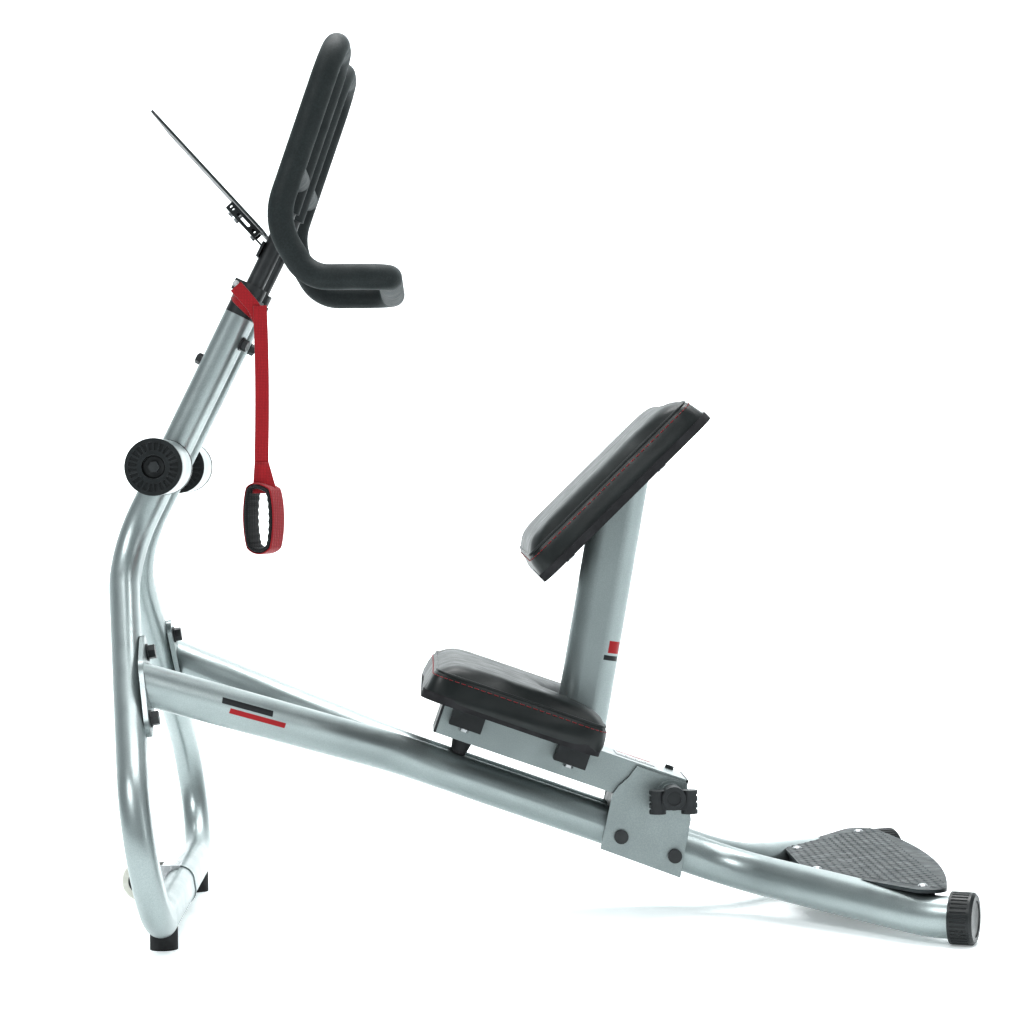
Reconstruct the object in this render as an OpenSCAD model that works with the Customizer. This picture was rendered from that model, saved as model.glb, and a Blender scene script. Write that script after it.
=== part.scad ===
// Stretch trainer: a seated stretching machine with a looped handlebar, two cushions on a
// sliding carriage, ankle rollers, a foot plate, a transport wheel and a hanging strap.
// +X points to the rear (the foot plate), +Z up, and the machine is symmetric about Y = 0
// but for the strap and the clamp handle, which are on its left side (-Y).

/* [Base frame] */
// Height of the ankle roller axle above the floor
roller_z = 551.5; // [530:0.5:570]
// Distance from the middle to each upper tube
upright_y = 57; // [54:1:60]
// Lean of the upper tubes from vertical, towards the rear
lean = 26.57; // [26:0.01:27]
// Width of the oval upright tube, front to back
oval_w = 34; // [32:1:36]
// Width of the oval upright tube, side to side
oval_h = 46; // [44:1:48]
// Diameter of the two long main tubes
main_d = 48; // [46:1:50]
// Slope of the main tubes and the carriage below horizontal
slope = 19.7; // [19:0.1:20]
// Wall thickness of the frame tubes
wall = 2.5; // [2:0.1:3]

/* [Carriage] */
// Width of the rail's box section
rail_w = 98; // [90:1:98]
// Height of the rail's box section
rail_h = 44; // [40:1:46]
// Length of the rail
rail_l = 306; // [290:1:310]
// Travel of the carriage in its bracket
travel = 40; // [20:1:40]
// Width of both cushions
pad_w = 380; // [340:5:400]
// Thickness of each cushion at its edge, with its crown
pad_t = 34; // [30:1:36]

/* [Handlebar] */
// Diameter of the bent steel tube
bar_d = 22; // [20:1:24]
// Diameter over the foam grip
foam_d = 30; // [28:1:32]
// Distance from the middle to each outer grip
grip_y = 192; // [180:1:200]

/* [Hidden] */
$fn = 48;

// Directions and points that several parts share
up_dir = [sin(lean), 0, cos(lean)];
hub = [-437.5, 0, roller_z];
function on_upper(z) = hub + up_dir * ((z - roller_z) / cos(lean));
function at_y(p, y) = [p.x, y, p.z];
function unit(v) = v / norm(v);
function mirror_y(p) = [p.x, -p.y, p.z];
function reversed(list) = [for (i = [len(list) - 1:-1:0]) list[i]];

// Upright: from the middle of the floor tube, out and up round the base bend, in to the upper tube
base_z = 40;
base_x = -433;
base_corner_y = 481;
upper_corner = on_upper(443);
upright_top = on_upper(731);
UPRIGHT = [[base_x, 0, base_z], [base_x, -base_corner_y, base_z],
           at_y(upper_corner, -upright_y), at_y(upright_top, -upright_y)];
UPRIGHT_R = [0, 96, 120, 0];
leg_dir = unit(UPRIGHT[2] - UPRIGHT[1]);
leg_normal = unit([leg_dir.z, 0, -leg_dir.x]);

// Direction that a section's x ends up in after the bends, as run() carries it along
function end_side(p, u, i = 0) = i + 2 >= len(p) ? u :
    let (t = unit(p[i + 1] - p[i]), t2 = unit(p[i + 2] - p[i + 1]), turn = acos(min(1, t * t2)),
         inward = unit(t2 - t * (t * t2)), normal = cross(t, inward),
         tilt = atan2(u * normal, -(u * inward)), spoke = t * sin(turn) - inward * cos(turn))
    end_side(p, spoke * cos(tilt) + normal * sin(tilt), i + 1);
upper_side = end_side(UPRIGHT, leg_normal);

// Where each main tube's flange sits on the leg
flange_share = 0.64;
flange_t = 6;
flange_foot = UPRIGHT[1] + (UPRIGHT[2] - UPRIGHT[1]) * flange_share;
flange_face = flange_foot + leg_normal * (oval_w / 2 + flange_t);

// Carriage frame: u runs down the slope from the main tubes' front ends, w is square to it
tube_y = 26;
function carriage(u, y, w) = [flange_face.x, 0, flange_face.z]
    + u * [cos(slope), 0, -sin(slope)] + [0, y, 0] + w * [sin(slope), 0, cos(slope)];
module in_carriage(u, y, w) {
    translate(carriage(u, y, w)) rotate([0, slope, 0]) children();
}

// Main tube: straight down the slope beside its twin, then out to the rear corner
main_bend = carriage(300, -tube_y, 0);
main_front = flange_face + unit(flange_face - main_bend) * 26;
MAIN = [main_front, main_bend, carriage(740, -tube_y, 0), [440, -268, 30.5], [481, -285, 30]];
MAIN_R = [0, 120, 110, 90, 0];
main_side = unit(cross([0, 0, 1], MAIN[1] - MAIN[0]));
cap_dir = unit(MAIN[4] - MAIN[3]);
cap_side = unit([0, 0, 1] - cap_dir * cap_dir.z);

// Handlebar: upper part leans less than the posts, and the whole loop is one tube
grip_dir = unit([0.354, 0, 1]);
post_y = upright_y;
grip_top = [-224.7, 0, 1040];
function on_grip(z) = grip_top + grip_dir * ((z - grip_top.z) / grip_dir.z);
grip_low_z = 768;
grip_end_x = -167;
grip_run = grip_dir.x / grip_dir.z;
post_bend_z = (grip_top.x - hub.x - grip_run * grip_top.z + tan(lean) * hub.z) / (tan(lean) - grip_run);
HALF_BAR = [at_y(on_upper(640), -post_y), at_y(on_upper(post_bend_z), -post_y),
            at_y(grip_top, -post_y), at_y(grip_top, -grip_y), at_y(on_grip(833), -grip_y),
            [-260.5, -grip_y, grip_low_z], [grip_end_x, -grip_y, grip_low_z]];
HALF_BAR_R = [0, 150, 45, 45, 72, 42, 30];
HALF_FOAM = [at_y(on_grip(856), -post_y), for (i = [2:6]) HALF_BAR[i]];
HALF_FOAM_R = [0, 45, 45, 72, 42, 30];
rung_z = 892;
rung_d = 16;

// Bracket that carries the carriage
plate_t = 6;
plate_y = rail_w / 2 + 1;
rail_w0 = 41;
rail_u0 = 334;
clamp_u = 627;
clamp_w = 63;
spindle_d = 12;
fit = 0.05;
BRACKET_BOLTS = [[587, -5], [656, -6]];

// Pads
pad_gap = 1;
board_t = 10;
lower_w0 = rail_w0 + rail_h + pad_gap;
lower_u = [294, 526];
post_lean = 10.4;
post_foot = carriage(503, 0, rail_w0 + rail_h);
upper_tilt = 44;
upper_origin = [102, 0, 500.7];

// ---------- tube bending ----------

module oval(w, h) {
    square([w, h - w], center = true);
    for (s = [-1, 1]) translate([0, s * (h - w) / 2]) circle(d = w);
}

module oval_tube(w, h, t) {
    difference() {
        oval(w, h);
        oval(w - 2 * t, h - 2 * t);
    }
}

module round_tube(d, t) {
    difference() {
        circle(d = d);
        circle(d = d - 2 * t);
    }
}

module both_sides() {
    children();
    mirror([0, 1, 0]) children();
}

module axes_at(x, y, z, p) {
    multmatrix([[x.x, y.x, z.x, p.x], [x.y, y.y, z.y, p.y], [x.z, y.z, z.z, p.z], [0, 0, 0, 1]])
        children();
}

// Sweeps a section along corners p, each rounded to radius r, with the section's x along u.
// Child 0 is the section, and child 1 the weld bead that joins each straight to its bend.
bead = 1;
module run(p, r, u, i = 0, from = undef) {
    start = is_undef(from) ? p[0] : from;
    t = unit(p[i + 1] - p[i]);
    last = i + 2 == len(p);
    t2 = last ? t : unit(p[i + 2] - p[i + 1]);
    turn = last ? 0 : acos(min(1, t * t2));
    back = last ? 0 : r[i + 1] * tan(turn / 2);
    head = i == 0 ? 0 : bead / 4;
    tail = last ? 0 : bead / 4;
    straight = norm(p[i + 1] - start) - back;
    axes_at(u, cross(t, u), t, start) {
        translate([0, 0, head]) linear_extrude(straight - head - tail) children(0);
        if (i > 0) translate([0, 0, -bead / 2]) linear_extrude(bead) children(1);
        if (!last) translate([0, 0, straight - bead / 2]) linear_extrude(bead) children(1);
    }
    if (!last) {
        inward = unit(t2 - t * (t * t2));
        normal = cross(t, inward);
        centre = p[i + 1] - t * back + inward * r[i + 1];
        tilt = atan2(u * normal, -(u * inward));
        axes_at(-inward, t, normal, centre)
            rotate_extrude(angle = turn) translate([r[i + 1], 0]) rotate(tilt) children(0);
        spoke = t * sin(turn) - inward * cos(turn);
        run(p, r, spoke * cos(tilt) + normal * sin(tilt), i + 1, centre + spoke * r[i + 1]) {
            children(0);
            children(1);
        }
    }
}

module bent_oval(p, r, u, w, h, t) {
    run(p, r, u) {
        oval_tube(w, h, t);
        oval_tube(w + 0.1, h + 0.1, t - 0.25);
    }
}

module bent_tube(p, r, u, d, t) {
    run(p, r, u) {
        round_tube(d, t);
        round_tube(d + 0.1, t - 0.25);
    }
}

module hex_head(d, h) {
    cylinder(d = d, h = h, $fn = 6);
}

module along(p, dir, side = [0, 1, 0]) {
    axes_at(unit(cross(side, dir)), side, dir, p) children();
}

// ---------- base frame ----------

module upright_shape() {
    difference() {
        bent_oval(UPRIGHT, UPRIGHT_R, leg_normal, oval_w, oval_h, wall);
        translate([hub.x, 0, hub.z]) rotate([90, 0, 0]) cylinder(d = 20, h = 200);
        for (s = [-1, 1]) flange_bolt_at(s) cylinder(d = 10, h = 60, center = true);
        post_bolt_holes();
    }
}

module upright_left() {
    color("silver") upright_shape();
}

module upright_right() {
    color("silver") mirror([0, 1, 0]) upright_shape();
}

// Centre line of the floor tube at y, with z running out to the left along it
module on_floor_tube(y) {
    axes_at(leg_normal, cross([0, -1, 0], leg_normal), [0, -1, 0], [base_x, y, base_z]) children();
}

module base_seam_ring() {
    color("silver") on_floor_tube(0) linear_extrude(3, center = true) difference() {
        oval(oval_w + 3, oval_h + 3);
        oval(oval_w + 0.2, oval_h + 0.2);
    }
}

axle_end = 215.4;
module roller_axle() {
    color("dimgray") translate([hub.x, 0, hub.z]) rotate([90, 0, 0])
        cylinder(d = 20, h = 2 * axle_end, center = true);
}

module axle_screws() {
    color("dimgray") for (s = [-1, 1]) translate([hub.x, s * axle_end, hub.z]) rotate([-90 * s, 0, 0]) {
        cylinder(d = 24, h = 2);
        translate([0, 0, 2]) hex_head(14, 5);
    }
}

module rubber_feet() {
    color([0.12, 0.12, 0.13]) both_sides() difference() {
        translate([base_x, -222, 0]) cylinder(d = 32, h = base_z - 4);
        on_floor_tube(-222) linear_extrude(60, center = true) oval(oval_w + 0.2, oval_h + 0.2);
    }
}

// Transport wheel in front of the floor tube
wheel_x = -478.5;
wheel_z = 47.5;
wheel_d = 50;

module wheel_fork() {
    color([0.45, 0.47, 0.49]) difference() {
        union() {
            translate([base_x - 21, -19, 63]) cube([21, 38, 4]);
            for (s = [-1, 1]) translate([0, s * 17, 0]) rotate([90, 0, 0])
                linear_extrude(4, center = true) {
                    translate([wheel_x, wheel_z]) circle(d = 24);
                    translate([wheel_x, wheel_z - 12]) square([44, 24]);
                    translate([base_x - 34, wheel_z]) square([34, 19.5]);
                }
        }
        on_floor_tube(0) {
            linear_extrude(60, center = true) oval(oval_w + 0.2, oval_h + 0.2);
            linear_extrude(4, center = true) oval(oval_w + 5, oval_h + 5);
        }
        translate([wheel_x, 0, wheel_z]) rotate([90, 0, 0]) cylinder(d = 8, h = 60, center = true);
    }
}

module wheel_axle() {
    color("gray") translate([wheel_x, 0, wheel_z]) rotate([90, 0, 0]) {
        cylinder(d = 8, h = 38, center = true);
        for (s = [-1, 1]) translate([0, 0, s * 21]) cylinder(d = 13, h = 4, center = true);
    }
}

module wheel_hub() {
    color([0.1, 0.1, 0.1]) translate([wheel_x, 0, wheel_z]) rotate([90, 0, 0]) difference() {
        union() {
            cylinder(d = 34, h = 22, center = true);
            cylinder(d = 16, h = 29, center = true);
        }
        cylinder(d = 8 + 2 * fit, h = 40, center = true);
    }
}

module wheel_tyre() {
    color("beige") translate([wheel_x, 0, wheel_z]) rotate([90, 0, 0]) rotate_extrude() difference() {
        union() {
            translate([17, -11]) square([5, 22]);
            translate([22, -8]) square([3, 16]);
            for (s = [-1, 1]) translate([22, s * 8]) circle(r = 3);
        }
        translate([0, -20]) square([17, 40]);
    }
}

// Flange plate: a rounded lozenge, its long axis down the leg
module lozenge(big, small, far) {
    a = acos((big - small) / far);
    circle(r = big);
    for (s = [-1, 1]) translate([s * far, 0]) circle(r = small);
    polygon([for (q = [[1, 1], [-1, 1], [-1, -1], [1, -1]])
        for (k = q.x * q.y > 0 ? [0, 1] : [1, 0])
            k == 0 ? [q.x * (far + small * cos(a)), q.y * small * sin(a)]
                   : [q.x * big * cos(a), q.y * big * sin(a)]]);
}

// Places children on the outer face of the leg, their x along the leg and z square to it
module on_leg() {
    axes_at(-leg_dir, cross(leg_normal, -leg_dir), leg_normal, flange_foot + leg_normal * oval_w / 2)
        children();
}

flange_bolt_u = 51.5;
module flange_bolt_at(s) {
    on_leg() translate([s * flange_bolt_u, 0, 0]) children();
}

module leg_flanges() {
    color("silver") both_sides() difference() {
        on_leg() linear_extrude(flange_t) lozenge(34, 14, 60);
        for (s = [-1, 1]) flange_bolt_at(s) translate([0, 0, -1]) cylinder(d = 10, h = flange_t + 2);
    }
}

module flange_bolts() {
    color([0.1, 0.1, 0.1]) for (m = [0, 1]) mirror([0, m, 0]) for (s = [-1, 1]) flange_bolt_at(s) {
        translate([0, 0, -wall]) cylinder(d = 10, h = wall + flange_t);
        translate([0, 0, flange_t]) cylinder(d = 20, h = 2);
        translate([0, 0, flange_t + 2]) hex_head(17, 8);
    }
}

module main_shape() {
    color("silver") difference() {
        bent_tube(MAIN, MAIN_R, main_side, main_d, wall);
        on_leg() translate([0, 0, flange_t - 100]) cylinder(r = 60, h = 100);
        for (b = BRACKET_BOLTS) in_carriage(b.x, 0, b.y) rotate([90, 0, 0])
            cylinder(d = 10, h = 200, center = true);
    }
}

module main_tube_left() {
    main_shape();
}

module main_tube_right() {
    mirror([0, 1, 0]) main_shape();
}

// Ribbed end cap over each main tube's open rear end
module rear_caps() {
    color([0.1, 0.1, 0.1]) both_sides() along(MAIN[4] - cap_dir * 20, cap_dir, cap_side) difference() {
        union() {
            cylinder(d = 60, h = 25);
            translate([0, 0, 25]) cylinder(d1 = 60, d2 = 54, h = 3);
        }
        translate([0, 0, -1]) cylinder(d = main_d + 0.2, h = 21);
        translate([0, 0, 27]) cylinder(d = 42, h = 2);
        for (i = [0:35]) rotate(i * 10) translate([30, 0, 3]) cylinder(d = 2.4, h = 19, $fn = 16);
    }
}

// Foot plate: straight front edge, splayed sides, rounded rear corners, and a wide arc behind
plate_z = 58;
plate_thick = 4;
plate_front = [319, 98];
corner = [439, 255];
corner_r = 22;
arc_r = 1290;
arc_c = [corner.x - sqrt(pow(arc_r - corner_r, 2) - pow(corner.y, 2)), 0];
side_span = corner - plate_front;
side_angle = atan2(side_span.y, side_span.x) + asin(corner_r / norm(side_span));
side_end = corner + corner_r * [-sin(side_angle), cos(side_angle)];
arc_end = corner + unit(corner - arc_c) * 100;
PLATE_SCREWS = [for (s = [-1, 1]) for (p = [[335, 91], [436, 243]]) [p.x, s * p.y]];

module foot_plate() {
    color([0.2, 0.21, 0.22]) translate([0, 0, plate_z]) difference() {
        linear_extrude(plate_thick) {
            for (s = [-1, 1]) translate([corner.x, s * corner.y]) circle(r = corner_r);
            polygon([for (s = [-1, 1]) for (i = [0:2])
                let (p = [plate_front, side_end, corner][s < 0 ? i : 2 - i]) [p.x, s * p.y]]);
            intersection() {
                translate(arc_c) circle(r = arc_r, $fn = 360);
                polygon([[corner.x, -corner.y], [arc_end.x, -arc_end.y], arc_end, corner]);
            }
        }
        for (p = PLATE_SCREWS) translate([p.x, p.y, -1]) cylinder(d = 6, h = 20);
        translate([0, 0, -plate_z]) main_tubes_solid(0.6);
    }
}

module main_tubes_solid(margin) {
    for (m = [0, 1]) mirror([0, m, 0])
        run(MAIN, MAIN_R, main_side) {
            circle(d = main_d + margin);
            circle(d = main_d + margin + 0.1);
        }
}

// Strip that hangs from the plate's slanted side down to the tube
module plate_skirt() {
    skirt_dir = side_span / norm(side_span);
    skirt_out = [-skirt_dir.y, skirt_dir.x];
    a = plate_front + skirt_dir * 6 - skirt_out * 4;
    b = corner - skirt_dir * 6 + skirt_out * 8;
    polygon([a, b, b - skirt_out * 5, a - skirt_out * 5]);
}

module foot_plate_bars() {
    color([0.12, 0.12, 0.13]) difference() {
        union() {
            translate([323, -100, 46]) cube([24, 200, plate_z - 46]);
            translate([424, -254, 42]) cube([24, 508, plate_z - 42]);
            both_sides() translate([0, 0, plate_z - 16]) linear_extrude(16) plate_skirt();
        }
        main_tubes_solid(0.4);
        for (p = PLATE_SCREWS) translate([p.x, p.y, 50]) cylinder(d = 6, h = 30);
    }
}

module foot_plate_screws() {
    color("silver") for (p = PLATE_SCREWS) translate([p.x, p.y, 0]) {
        translate([0, 0, 54]) cylinder(d = 6, h = plate_z + plate_thick - 54);
        translate([0, 0, plate_z + plate_thick]) cylinder(d1 = 12, d2 = 8, h = 2);
    }
}

// ---------- ankle rollers ----------

roller_d = 66;
roller_in = 86;
roller_out = 227;

module roller_sleeve_shape() {
    color("silver") translate([hub.x, -roller_in - 6, hub.z]) rotate([90, 0, 0])
        linear_extrude(roller_out - roller_in - 14) round_tube(roller_d - 1, 2);
}

// Moulded end cap with radial ribs round a central seat
module ribbed_cap(face, plug, recess) {
    difference() {
        union() {
            cylinder(d = roller_d, h = face);
            translate([0, 0, -plug]) cylinder(d = roller_d - 5, h = plug);
        }
        translate([0, 0, -plug - 1]) cylinder(d = 20 + 2 * fit, h = face + plug + 2);
        translate([0, 0, face - recess]) cylinder(d = 27, h = recess + 1);
        translate([0, 0, face - 2]) difference() {
            cylinder(d = 57, h = 3);
            translate([0, 0, -1]) cylinder(d = 38, h = 5);
            for (i = [0:23]) rotate(i * 15) translate([0, -1.2, -1]) cube([40, 2.4, 5]);
        }
    }
}

module roller_caps_left() {
    color([0.08, 0.08, 0.08]) {
        translate([hub.x, -roller_out + 8, hub.z]) rotate([90, 0, 0]) ribbed_cap(8, 12, 12);
        translate([hub.x, -roller_in - 6, hub.z]) rotate([-90, 0, 0]) ribbed_cap(6, 12, 0.01);
    }
}

module roller_sleeve_left() {
    roller_sleeve_shape();
}

module roller_sleeve_right() {
    mirror([0, 1, 0]) roller_sleeve_shape();
}

module roller_caps_right() {
    mirror([0, 1, 0]) roller_caps_left();
}

// ---------- handlebar ----------

module both_halves(p, r, d, t) {
    full = concat(p, [for (q = reversed(p)) mirror_y(q)]);
    bent_tube(full, concat(r, reversed(r)), [0, 1, 0], d, t);
}

module handlebar() {
    color([0.12, 0.12, 0.13]) both_halves(HALF_BAR, HALF_BAR_R, bar_d, 2);
}

module handlebar_rungs() {
    color([0.12, 0.12, 0.13]) for (s = [-1, 1]) difference() {
        translate(at_y(on_grip(rung_z), s * (post_y + grip_y) / 2)) rotate([90, 0, 0])
            cylinder(d = rung_d, h = grip_y - post_y - 4, center = true);
        for (y = [post_y, grip_y]) translate(at_y(on_grip(rung_z), s * y))
            along([0, 0, 0], grip_dir) cylinder(d = bar_d + 0.1, h = 60, center = true);
    }
}

module grip_foam() {
    color([0.16, 0.17, 0.18]) difference() {
        both_halves(HALF_FOAM, HALF_FOAM_R, foam_d, (foam_d - bar_d) / 2 - 0.1);
        translate(on_grip(rung_z)) rotate([90, 0, 0]) difference() {
            cylinder(d = rung_d + 0.2, h = 2 * grip_y, center = true);
            cylinder(d = rung_d + 2, h = 2 * post_y, center = true);
        }
    }
}

module rung_foam() {
    color([0.16, 0.17, 0.18]) for (s = [-1, 1]) difference() {
        translate(at_y(on_grip(rung_z), s * (post_y + grip_y) / 2)) rotate([90, 0, 0]) difference() {
            cylinder(d = foam_d, h = grip_y - post_y - 10, center = true);
            cylinder(d = rung_d + 0.2, h = grip_y, center = true);
        }
        for (y = [post_y, grip_y]) translate(at_y(on_grip(rung_z), s * y))
            along([0, 0, 0], grip_dir) cylinder(d = foam_d + 0.1, h = 90, center = true);
    }
}

// Bush in the mouth of each upper tube, and a split collar above it
bush_h = 26;

module upper_end(y) {
    mirror([0, y > 0 ? 1 : 0, 0])
        axes_at(upper_side, cross(up_dir, upper_side), up_dir, at_y(upright_top, -upright_y)) children();
}

module tube_bushes() {
    color([0.1, 0.1, 0.1]) both_sides() upper_end(-upright_y) difference() {
        union() {
            linear_extrude(bush_h) oval(oval_w, oval_h);
            translate([0, 0, -18]) linear_extrude(18)
                oval(oval_w - 2 * wall - 0.2, oval_h - 2 * wall - 0.2);
        }
        translate([0, 0, -20]) cylinder(d = bar_d, h = bush_h + 40);
    }
}

module post_collars() {
    color([0.1, 0.1, 0.1]) for (s = [-1, 1]) upper_end(s * upright_y) difference() {
        translate([0, 0, bush_h]) union() {
            cylinder(d = 32, h = 14);
            translate([-24, -6, 0]) cube([14, 12, 14]);
        }
        translate([0, 0, bush_h - 1]) cylinder(d = bar_d, h = 20);
        translate([-30, -1, bush_h - 1]) cube([22, 2, 20]);
        translate([-19.5, 0, bush_h + 7]) rotate([90, 0, 0]) cylinder(d = 5, h = 30, center = true);
    }
}

module collar_screws() {
    color("gray") for (s = [-1, 1]) upper_end(s * upright_y)
        translate([-19.5, 0, bush_h + 7]) rotate([90, 0, 0]) {
            cylinder(d = 5, h = 12, center = true);
            for (k = [-1, 1]) translate([0, 0, k * 8]) cylinder(d = 8, h = 4, center = true);
        }
}

// Bolts through the front and rear walls of the upper tubes, that lock the posts
POST_BOLTS = [[-67, -1], [-29, 1]];
module post_bolt(b, y) {
    upper_end(y) translate([0, 0, b.x]) rotate([0, 90 * b.y, 0]) children();
}

module post_bolt_holes() {
    for (b = POST_BOLTS) post_bolt(b, -upright_y) cylinder(d = 8, h = 40);
}

module post_bolts() {
    color([0.1, 0.1, 0.1]) for (s = [-1, 1]) for (b = POST_BOLTS) post_bolt(b, s * upright_y) {
        translate([0, 0, bar_d / 2]) cylinder(d = 8, h = oval_w / 2 - bar_d / 2);
        translate([0, 0, oval_w / 2]) cylinder(d = 17, h = 1.5);
        translate([0, 0, oval_w / 2 + 1.5]) hex_head(14, 7);
    }
}

// ---------- hanging strap, left side ----------

band_y = -upright_y - oval_h / 2 - 2.6;
strap_pin = [-322, band_y - 1.2, 737];
strap_t = 2.2;

module strap_band() {
    color([0.75, 0.08, 0.1]) {
        upper_end(-upright_y) translate([0, 0, 2]) linear_extrude(22) difference() {
            oval(oval_w + 5.2, oval_h + 5.2);
            oval(oval_w + 0.4, oval_h + 0.4);
        }
        translate([0, band_y + 0.6, 0]) rotate([90, 0, 0]) linear_extrude(1.8)
            polygon([on_band(0, 3), on_band(0, 23), [strap_pin.x + 9, strap_pin.z + 6],
                     [strap_pin.x + 9, strap_pin.z - 8], [strap_pin.x - 8, strap_pin.z - 8]]);
    }
}

function on_band(across, up) = [on_upper(731).x + across + up * up_dir.x, 731 + up * up_dir.z];

module strap_webbing() {
    w = strap_w / 2;
    color([0.75, 0.08, 0.1]) difference() {
        translate([0, strap_pin.y - 0.3, 0]) rotate([90, 0, 0]) linear_extrude(strap_t) {
            translate([strap_pin.x, strap_pin.z]) circle(r = w);
            translate([strap_pin.x, 0]) polygon([[-w, strap_pin.z], [w, strap_pin.z], [w, 562],
                                                 [2 * w, 530], [-2 * w, 530], [-w, 562]]);
        }
        in_cuff() oval(cuff_w + 0.2, cuff_h + 0.2);
    }
}

strap_w = 17;
cuff_w = 42;
cuff_h = 88;
cuff_l = 34;
cuff_turn = 25;
module in_cuff() {
    translate([strap_pin.x + 1, strap_pin.y - 0.3 - strap_t / 2, 490]) rotate([0, 0, -cuff_turn])
        rotate([90, 0, 0]) linear_extrude(cuff_l, center = true) children();
}

module cuff_shell() {
    color([0.75, 0.08, 0.1]) in_cuff() difference() {
        oval(cuff_w, cuff_h);
        oval(cuff_w - 5, cuff_h - 5);
    }
}

module cuff_lining() {
    color([0.1, 0.1, 0.1]) in_cuff() difference() {
        oval(cuff_w - 5, cuff_h - 5);
        oval(cuff_w - 16, cuff_h - 16);
    }
}

// ---------- exercise placard ----------

placard_dir = unit([-129, 0, 143]);
placard_foot = [-314, 0, 828];
placard_l = 193;
placard_w = 260;
placard_t = 3;
bracket_y = 20;
crossbar_y = 68;
PLACARD_SCREWS = [15, 44, 54];

// Children's x runs up the placard and z off the face that the user reads
module on_placard() {
    axes_at(placard_dir, [0, -1, 0], cross(placard_dir, [0, -1, 0]), placard_foot) children();
}

module placard() {
    r = 12;
    color("white") on_placard() difference() {
        translate([0, 0, -placard_t]) linear_extrude(placard_t) {
            translate([0, r - placard_w / 2]) square([placard_l, placard_w - 2 * r]);
            translate([r, -placard_w / 2]) square([placard_l - 2 * r, placard_w]);
            for (s = [-1, 1]) for (x = [r, placard_l - r])
                translate([x, s * (placard_w / 2 - r)]) circle(r = r);
        }
        for (x = PLACARD_SCREWS) translate([x, 0, -5]) cylinder(d = 4, h = 10);
    }
}

// Channel under the placard: two slotted webs on a flange that reaches the crossbar
module placard_bracket() {
    color([0.1, 0.1, 0.1]) difference() {
        on_placard() difference() {
            union() {
                for (s = [-1, 1]) translate([12, s * bracket_y - 1.25, -14]) cube([50, 2.5, 11]);
                translate([-12, -bracket_y - 1.25, -14]) cube([74, 2 * bracket_y + 2.5, 2]);
                translate([12, -bracket_y - 1.25, -5]) cube([50, 2 * bracket_y + 2.5, 2]);
            }
            for (p = [[18.5, 2], [36.5, 18], [56, 3]]) translate([p.x, 0, -8.2]) rotate([90, 0, 0])
                linear_extrude(80, center = true) {
                    square([p.y, 4], center = true);
                    for (e = [-1, 1]) translate([e * p.y / 2, 0]) circle(d = 4);
                }
            for (x = PLACARD_SCREWS) translate([x, 0, -25]) cylinder(d = 4, h = 30);
        }
        along(upright_top, up_dir) translate([-bar_d / 2 - 3, -40, 0]) cube([80, 80, 200]);
    }
}

module placard_crossbar() {
    color([0.1, 0.1, 0.1]) along(upright_top, up_dir) translate([-bar_d / 2 - 3, -crossbar_y, 73])
        cube([3, 2 * crossbar_y, 20]);
}

module placard_screws() {
    color("gray") on_placard() for (x = PLACARD_SCREWS) translate([x, 0, 0]) {
        translate([0, 0, -14]) cylinder(d = 4, h = 14);
        cylinder(d = 8, h = 1.2);
        translate([0, 0, -17]) hex_head(7, 3);
    }
}

// ---------- carriage bracket ----------

module side_plates() {
    outline = [[568, -27], [560, 40], [564, 52], [572, 66], [577, 82], [641, 82], [660, 42], [671, -29]];
    color("silver") both_sides() in_carriage(0, -plate_y, 0) rotate([90, 0, 0])
        linear_extrude(plate_t) difference() {
            polygon(outline);
            for (b = BRACKET_BOLTS) translate(b) circle(d = 10);
            translate([clamp_u, clamp_w]) circle(d = spindle_d + 2 * fit);
        }
}

module rail_glide() {
    color([0.12, 0.12, 0.13]) in_carriage(562, 0, main_d / 2) translate([0, -plate_y, 0])
        cube([90, 2 * plate_y, rail_w0 - main_d / 2 - 0.2]);
}

module bracket_bolts() {
    color([0.1, 0.1, 0.1]) for (b = BRACKET_BOLTS) in_carriage(b.x, 0, b.y) rotate([90, 0, 0]) {
        cylinder(d = 10, h = 2 * (plate_y + plate_t), center = true);
        for (s = [-1, 1]) translate([0, 0, s * (plate_y + plate_t + 2.5)])
            cylinder(d = 17, h = 5, center = true);
    }
}

module clamp_bush() {
    color("lightgray") in_carriage(clamp_u, -plate_y - plate_t, clamp_w) rotate([90, 0, 0]) difference() {
        union() {
            cylinder(d = 35, h = 4);
            cylinder(d = 27, h = 9);
            cylinder(d = 20, h = 14);
        }
        translate([0, 0, -1]) cylinder(d = spindle_d + 2 * fit, h = 20);
    }
}

handle_gap = 22;
module clamp_spindle() {
    color("gray") in_carriage(clamp_u, -plate_y - plate_t - handle_gap, clamp_w) rotate([-90, 0, 0])
        cylinder(d = spindle_d, h = 2 * (plate_y + plate_t) + handle_gap + 16);
}

// T handle with a round boss and two ribbed lobes
module clamp_handle() {
    color([0.1, 0.1, 0.1]) in_carriage(clamp_u, -plate_y - plate_t - handle_gap, clamp_w)
        rotate([90, 0, 0]) rotate(slope) difference() {
            union() {
                cylinder(d = 28, h = 26);
                translate([-20, -14, 5]) cube([40, 18, 18]);
                for (s = [-1, 1]) translate([s * 19, -5, 14]) rotate([90, 0, 0])
                    cylinder(d = 20, h = 28, center = true);
            }
            for (s = [-1, 1]) for (k = [-1:1])
                translate([s * 29, k * 8 - 5, 14]) cube([4, 3, 30], center = true);
            translate([0, 0, 24]) cylinder(d = 17, h = 3);
        }
}

module clamp_nut() {
    color("gray") in_carriage(clamp_u, plate_y + plate_t, clamp_w) rotate([-90, 0, 0]) difference() {
        hex_head(24, 12);
        translate([0, 0, -1]) cylinder(d = spindle_d + 2 * fit, h = 20);
    }
}

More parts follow.
